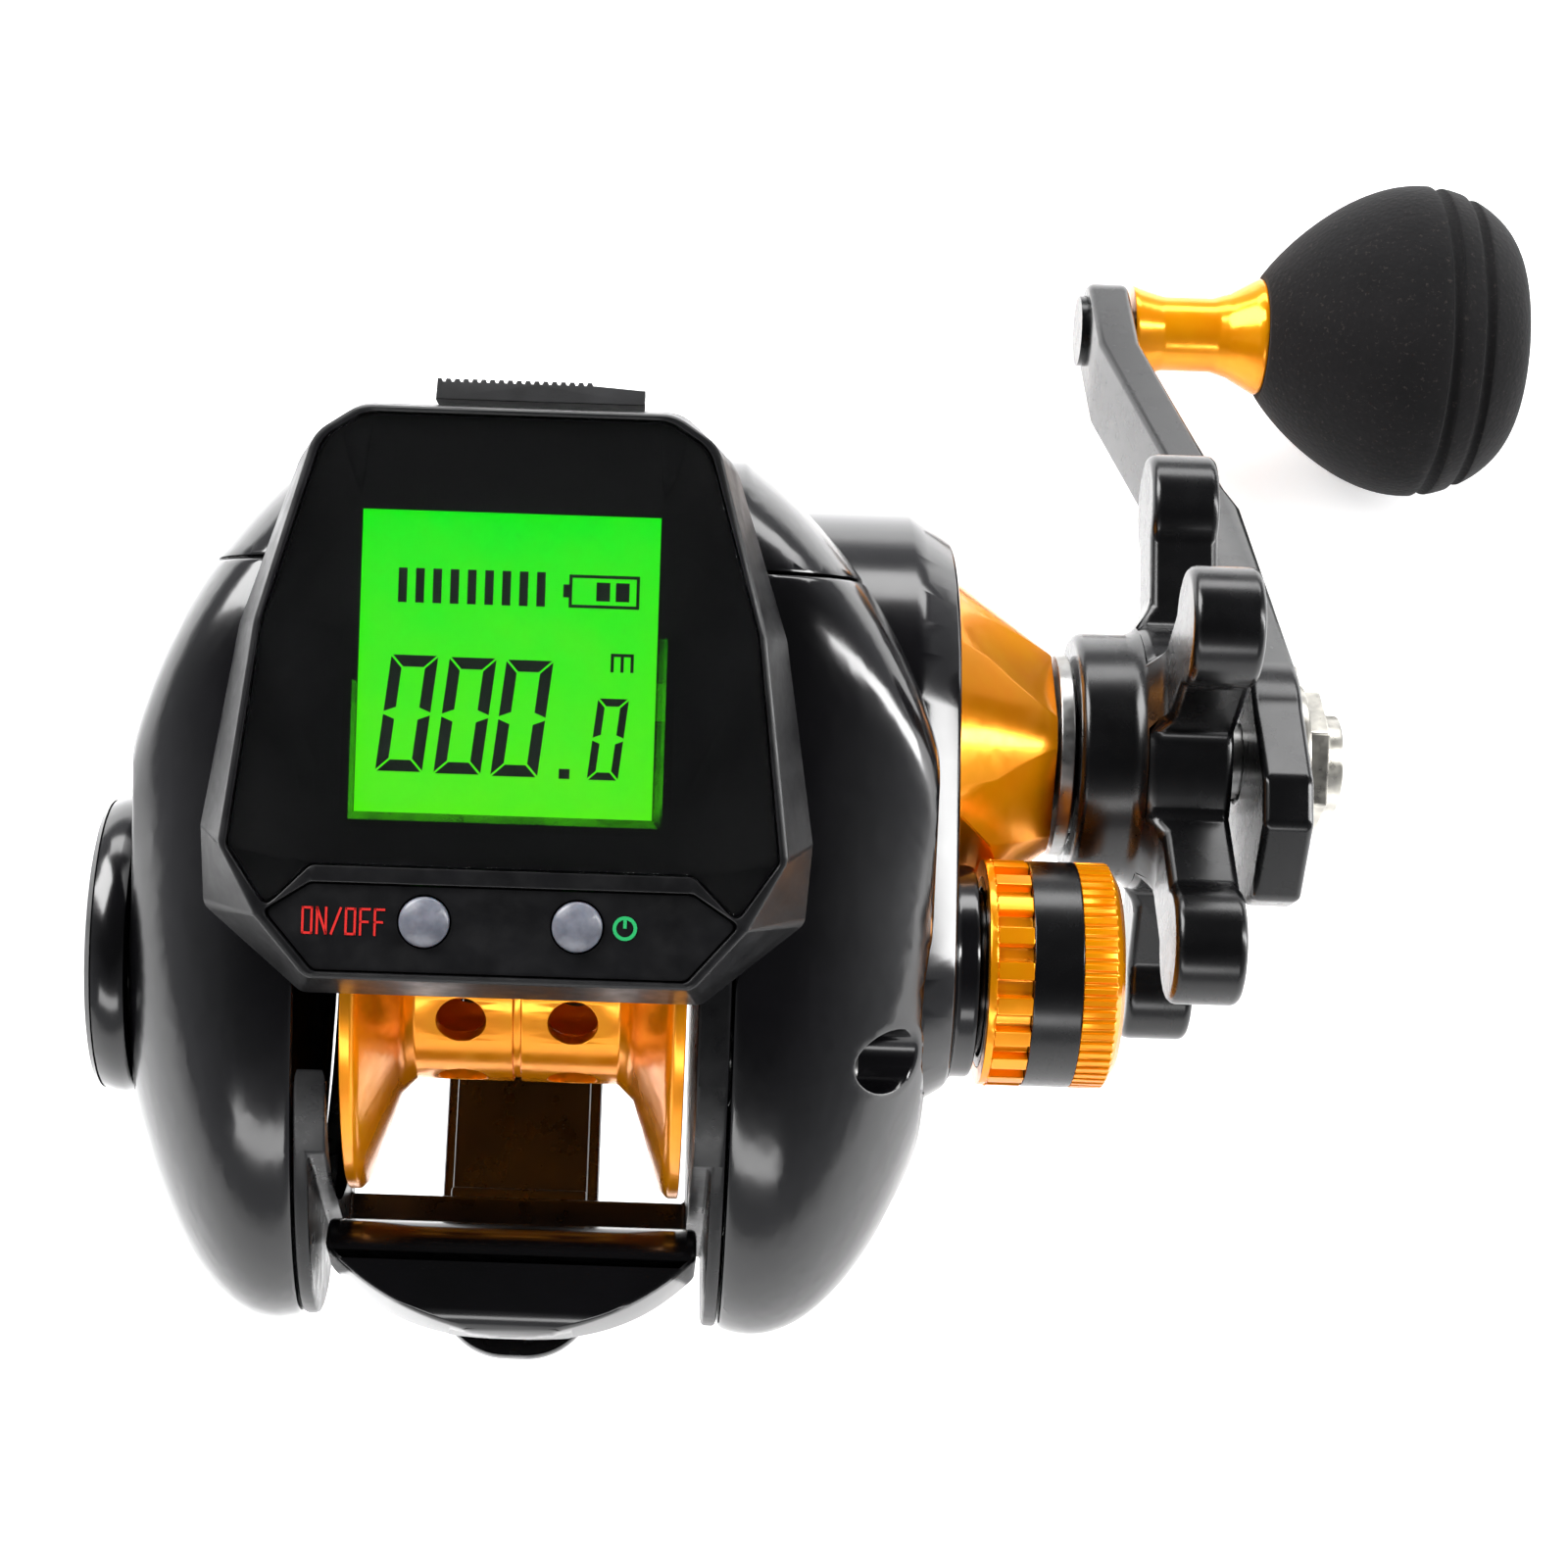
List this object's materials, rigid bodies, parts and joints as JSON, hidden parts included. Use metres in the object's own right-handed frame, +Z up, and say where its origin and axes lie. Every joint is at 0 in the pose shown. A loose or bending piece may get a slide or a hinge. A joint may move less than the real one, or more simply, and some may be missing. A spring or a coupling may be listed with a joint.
{
  "type": "digital baitcasting reel",
  "caption": "Low-profile baitcasting fishing reel with a lit line-counter display, drilled spool, star drag and single cranked handle.",
  "frame": {"origin": "middle of the underside of the reel foot", "axes": "+X along the spool axis towards the handle, +Y towards the rod tip, +Z up from the rod through the foot"},
  "size_m": [0.1241, 0.1238, 0.0958],
  "materials": {
    "black_shell": "glossy black moulded nylon",
    "frame_black": "satin black moulded frame",
    "case_plastic": "satin black moulded case",
    "base_plastic": "matt black moulding",
    "window": "smoked clear acrylic",
    "mask": "black film",
    "lcd": "lit green liquid crystal panel",
    "board": "green circuit board",
    "cell": "foil wrapped cell",
    "button_grey": "grey domed rubber",
    "rubber_black": "matt black rubber",
    "gold": "gold anodised",
    "black_metal": "black anodised or painted",
    "bright_steel": "polished nickel plate",
    "steel": "ground stainless steel",
    "brass_gear": "hobbed brass",
    "foam": "fine-pored black foam",
    "fibre": "pressed fibre washer",
    "magnet": "nickel plated magnet",
    "ceramic": "polished ceramic liner"
  },
  "bodies": {
    "frame_body": {"frame": "frame_black", "reel_foot": "black_metal", "foot_screws": "steel", "palm_side_plate": "black_shell", "handle_side_plate": "black_shell", "gear_housing": "black_shell", "bearing_cone": "gold", "front_cover": "black_shell", "side_plate_screws": "steel", "display_housing": "case_plastic", "display_base": "base_plastic", "display_window": "window", "window_mask": "mask", "lcd_panel": "lcd", "circuit_board": "board", "battery": "cell", "charge_port": "steel", "button_panel": "case_plastic", "spool_sensor": "base_plastic", "spool_bearings": "steel", "one_way_bearing": "steel", "guide_rod": "steel", "yoke_posts": "steel"},
    "crank": {"drive_shaft": "steel", "drive_gear": "brass_gear", "drag_washers": "fibre", "level_wind_gear": "base_plastic", "shaft_sleeve": "steel", "handle_arm": "black_metal", "handle_nut": "bright_steel", "nut_retainer": "bright_steel", "retainer_screw": "bright_steel", "knob_spindle": "black_metal"},
    "star": {"star_drag": "black_metal", "drag_springs": "steel"},
    "grip": {"knob_collar": "gold", "knob_grip": "foam", "knob_cap": "foam", "knob_bearings": "steel"},
    "spool_body": {"spool": "gold", "spool_shaft": "steel"},
    "yoke": {"clutch_yoke": "steel"},
    "pinion": {"pinion_gear": "brass_gear"},
    "cast_control": {"cast_control_cap": "black_metal", "cast_control_ring": "gold", "cast_control_rim": "gold", "friction_pad": "rubber_black"},
    "worm": {"worm_shaft": "steel", "worm_gear": "base_plastic"},
    "guide": {"line_guide": "base_plastic", "guide_insert": "ceramic", "guide_pawl": "brass_gear"},
    "dial": {"brake_dial": "black_shell", "magnet_holder": "base_plastic", "brake_magnets": "magnet"},
    "thumb": {"thumb_bar": "black_shell"},
    "cam": {"clutch_cam": "base_plastic"},
    "power_key": {"power_button": "button_grey"},
    "set_key": {"set_button": "button_grey"},
    "port_flap": {"port_cover": "rubber_black"}
  },
  "joints": [
    {"name": "handle_turn", "type": "hinge", "parent": "frame_body", "child": "crank", "pos_m": [0.05, 0.0198, 0.02], "axis": [1, 0, 0], "continuous": true},
    {"name": "star_turn", "type": "hinge", "parent": "crank", "child": "star", "pos_m": [0.045, 0.0198, 0.02], "axis": [1, 0, 0], "range_deg": [-180, 180]},
    {"name": "knob_turn", "type": "hinge", "parent": "crank", "child": "grip", "pos_m": [0.075, 0.08103, -0.01901], "axis": [1, 0, 0], "continuous": true},
    {"name": "spool_turn", "type": "hinge", "parent": "frame_body", "child": "spool_body", "pos_m": [0, 0, 0.024], "axis": [1, 0, 0], "continuous": true},
    {"name": "clutch_slide", "type": "slide", "parent": "frame_body", "child": "yoke", "axis": [1, 0, 0], "range_m": [0, 0.001]},
    {"name": "pinion_turn", "type": "hinge", "parent": "yoke", "child": "pinion", "pos_m": [0.024, 0, 0.024], "axis": [1, 0, 0], "continuous": true},
    {"name": "cast_control_turn", "type": "hinge", "parent": "frame_body", "child": "cast_control", "pos_m": [0.04, 0, 0.024], "axis": [1, 0, 0], "range_deg": [-180, 180]},
    {"name": "worm_turn", "type": "hinge", "parent": "frame_body", "child": "worm", "pos_m": [0, 0.02793, 0.02813], "axis": [1, 0, 0], "continuous": true},
    {"name": "guide_slide", "type": "slide", "parent": "frame_body", "child": "guide", "axis": [1, 0, 0], "range_m": [-0.0086, 0.0086]},
    {"name": "brake_dial_turn", "type": "hinge", "parent": "frame_body", "child": "dial", "pos_m": [-0.031, 0, 0.024], "axis": [1, 0, 0], "range_deg": [-60, 60]},
    {"name": "thumb_press", "type": "slide", "parent": "frame_body", "child": "thumb", "axis": [0, 0, -1], "range_m": [0, 0.004]},
    {"name": "cam_turn", "type": "hinge", "parent": "frame_body", "child": "cam", "pos_m": [0.0165, 0, 0.024], "axis": [1, 0, 0], "range_deg": [0, 20.1]},
    {"name": "power_press", "type": "slide", "parent": "frame_body", "child": "power_key", "axis": [0, 0.3746, -0.9272], "range_m": [0, 0.0004], "stiffness_N_per_m": 600},
    {"name": "set_press", "type": "slide", "parent": "frame_body", "child": "set_key", "axis": [0, 0.3746, -0.9272], "range_m": [0, 0.0004], "stiffness_N_per_m": 600},
    {"name": "port_flap_turn", "type": "hinge", "parent": "frame_body", "child": "port_flap", "pos_m": [0, 0.0323, 0.0515], "axis": [-1, 0, 0], "range_deg": [0, 95]}
  ],
  "couplings": [
    {"joint": "spool_turn", "follows": "handle_turn", "ratio": -5.4545},
    {"joint": "pinion_turn", "follows": "handle_turn", "ratio": -5.4545},
    {"joint": "worm_turn", "follows": "handle_turn", "ratio": -2.0667},
    {"joint": "clutch_slide", "follows": "thumb_press", "ratio": 0.25},
    {"joint": "cam_turn", "follows": "thumb_press", "rad_per_m": 87}
  ]
}
